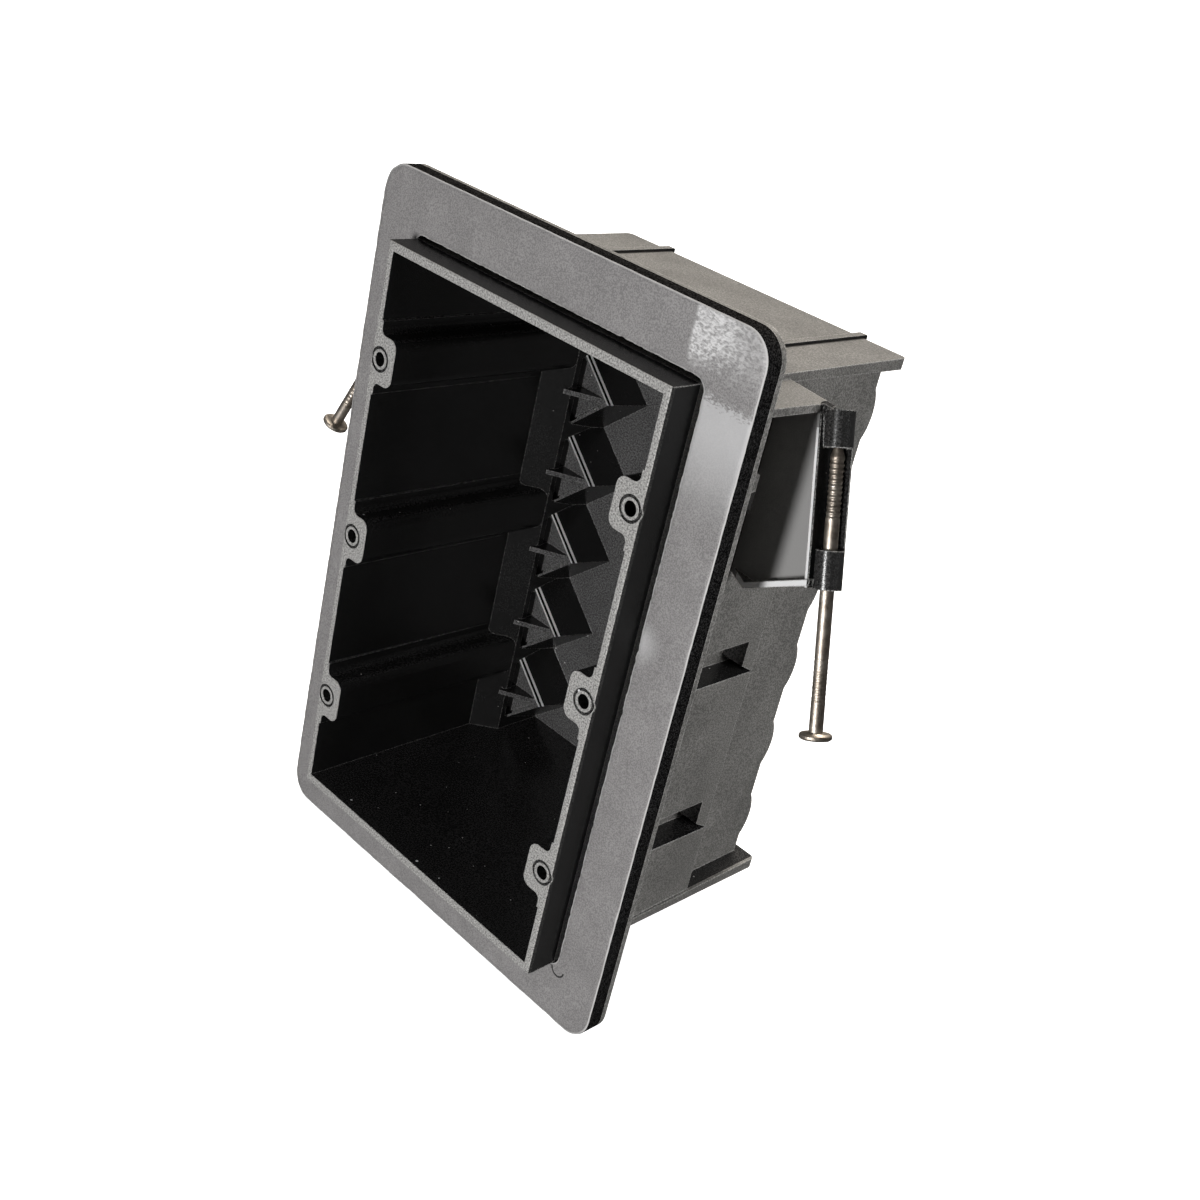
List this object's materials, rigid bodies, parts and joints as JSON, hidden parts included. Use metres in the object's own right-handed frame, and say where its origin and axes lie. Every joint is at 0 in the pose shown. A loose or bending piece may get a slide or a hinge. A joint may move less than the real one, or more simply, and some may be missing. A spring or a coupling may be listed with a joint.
{
  "type": "three-gang nail-on junction box",
  "caption": "Moulded junction box with a sealing flange, a foam gasket, screw bosses, wire-entry flaps and captive splayed nails that slide.",
  "frame": {"origin": "centre of the six device screw holes, on the plane of the collar's rim", "axes": "+X across the box between the two screws of a gang, +Y into the wall, +Z along the gangs to the stud plate"},
  "size_m": [0.1754, 0.0824, 0.177],
  "materials": {
    "moulding": "satin moulded grey",
    "foam": "closed-cell foam with a smooth skin",
    "nail": "bright drawn steel"
  },
  "bodies": {
    "box": {"box_body": "moulding", "foam_gasket": "foam"},
    "right_nail": {"nail_right": "nail"},
    "left_nail": {"nail_left": "nail"}
  },
  "joints": [
    {"name": "right_nail_slide", "type": "slide", "parent": "box", "child": "right_nail", "axis": [-0.3392, 0.1455, 0.9294], "range_m": [0, 0.0298]},
    {"name": "left_nail_slide", "type": "slide", "parent": "box", "child": "left_nail", "axis": [0.3392, 0.1455, 0.9294], "range_m": [0, 0.0298]}
  ]
}
